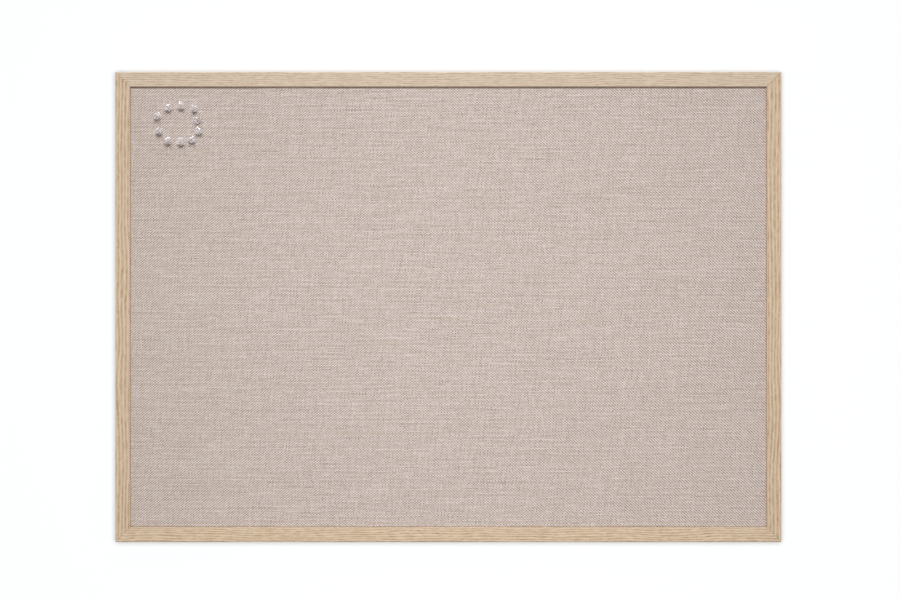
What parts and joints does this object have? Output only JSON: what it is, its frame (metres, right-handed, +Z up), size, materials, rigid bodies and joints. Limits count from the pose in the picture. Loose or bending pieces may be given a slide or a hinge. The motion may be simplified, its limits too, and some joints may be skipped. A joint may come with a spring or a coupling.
{
  "type": "framed memo board",
  "caption": "Wide linen-covered pin board in a slim mitred oak frame, with clear push pins in its fabric and D-ring hangers on its back.",
  "frame": {"origin": "the point on the wall behind the middle of the board, in the plane of the rubber bumpers' faces", "axes": "+X to the right seen from the front, +Y into the wall, +Z up; the front faces -Y"},
  "size_m": [0.85, 0.0353, 0.6],
  "materials": {
    "oak": "pale oak, clear matt lacquer",
    "linen": "plain weave of cream and taupe melange yarns",
    "fibreboard": "soft unpainted fibreboard",
    "hardboard": "thin brown hardboard, smooth side out",
    "steel": "bright steel",
    "zinc": "zinc plated",
    "rubber": "matt dark grey",
    "clear_plastic": "clear moulded polystyrene"
  },
  "bodies": {
    "board": {"top_rail": "oak", "bottom_rail": "oak", "left_stile": "oak", "right_stile": "oak", "v_nail_bottom_left": "zinc", "v_nail_bottom_right": "zinc", "v_nail_top_right": "zinc", "v_nail_top_left": "zinc", "fabric_cover": "linen", "fibreboard_core": "fibreboard", "backing_board": "hardboard", "flex_point_bottom_1": "steel", "flex_point_bottom_2": "steel", "flex_point_bottom_3": "steel", "flex_point_right_1": "steel", "flex_point_right_2": "steel", "flex_point_top_1": "steel", "flex_point_top_2": "steel", "flex_point_top_3": "steel", "flex_point_left_1": "steel", "flex_point_left_2": "steel", "hanger_strap_left": "zinc", "hanger_screw_left": "steel", "hanger_strap_right": "zinc", "hanger_screw_right": "steel", "wall_bumper_left": "rubber", "wall_bumper_right": "rubber"},
    "ring_left": {"hanger_ring_left": "zinc"},
    "ring_right": {"hanger_ring_right": "zinc"},
    "push_pin_01": {"push_pin_01_head": "clear_plastic", "push_pin_01_needle": "steel"},
    "push_pin_02": {"push_pin_02_head": "clear_plastic", "push_pin_02_needle": "steel"},
    "push_pin_03": {"push_pin_03_head": "clear_plastic", "push_pin_03_needle": "steel"},
    "push_pin_04": {"push_pin_04_head": "clear_plastic", "push_pin_04_needle": "steel"},
    "push_pin_05": {"push_pin_05_head": "clear_plastic", "push_pin_05_needle": "steel"},
    "push_pin_06": {"push_pin_06_head": "clear_plastic", "push_pin_06_needle": "steel"},
    "push_pin_07": {"push_pin_07_head": "clear_plastic", "push_pin_07_needle": "steel"},
    "push_pin_08": {"push_pin_08_head": "clear_plastic", "push_pin_08_needle": "steel"},
    "push_pin_09": {"push_pin_09_head": "clear_plastic", "push_pin_09_needle": "steel"},
    "push_pin_10": {"push_pin_10_head": "clear_plastic", "push_pin_10_needle": "steel"}
  },
  "joints": [
    {"name": "ring_left_swing", "type": "hinge", "parent": "board", "child": "ring_left", "pos_m": [-0.4185, -0.00225, 0.19], "axis": [-1, 0, 0], "range_deg": [0, 178]},
    {"name": "ring_right_swing", "type": "hinge", "parent": "board", "child": "ring_right", "pos_m": [0.4185, -0.00225, 0.19], "axis": [-1, 0, 0], "range_deg": [0, 178]},
    {"name": "pin_01_pull", "type": "slide", "parent": "board", "child": "push_pin_01", "axis": [-0.1055, -0.9925, 0.0609], "range_m": [-0.0015, 0.015]},
    {"name": "pin_02_pull", "type": "slide", "parent": "board", "child": "push_pin_02", "axis": [0.0271, -0.9945, 0.101], "range_m": [-0.0015, 0.015]},
    {"name": "pin_03_pull", "type": "slide", "parent": "board", "child": "push_pin_03", "axis": [0.0755, -0.9962, 0.0436], "range_m": [-0.0015, 0.015]},
    {"name": "pin_04_pull", "type": "slide", "parent": "board", "child": "push_pin_04", "axis": [-0.036, -0.9903, -0.1344], "range_m": [-0.0015, 0.015]},
    {"name": "pin_05_pull", "type": "slide", "parent": "board", "child": "push_pin_05", "axis": [-0.0221, -0.9986, 0.0474], "range_m": [-0.0015, 0.015]},
    {"name": "pin_06_pull", "type": "slide", "parent": "board", "child": "push_pin_06", "axis": [0.0714, -0.9962, -0.05], "range_m": [-0.0015, 0.015]},
    {"name": "pin_07_pull", "type": "slide", "parent": "board", "child": "push_pin_07", "axis": [0.0442, -0.9945, 0.0947], "range_m": [-0.0015, 0.015]},
    {"name": "pin_08_pull", "type": "slide", "parent": "board", "child": "push_pin_08", "axis": [0.0298, -0.9962, 0.0819], "range_m": [-0.0015, 0.015]},
    {"name": "pin_09_pull", "type": "slide", "parent": "board", "child": "push_pin_09", "axis": [0.0755, -0.9962, 0.0436], "range_m": [-0.0015, 0.015]},
    {"name": "pin_10_pull", "type": "slide", "parent": "board", "child": "push_pin_10", "axis": [0.0783, -0.9925, 0.0934], "range_m": [-0.0015, 0.015]}
  ]
}
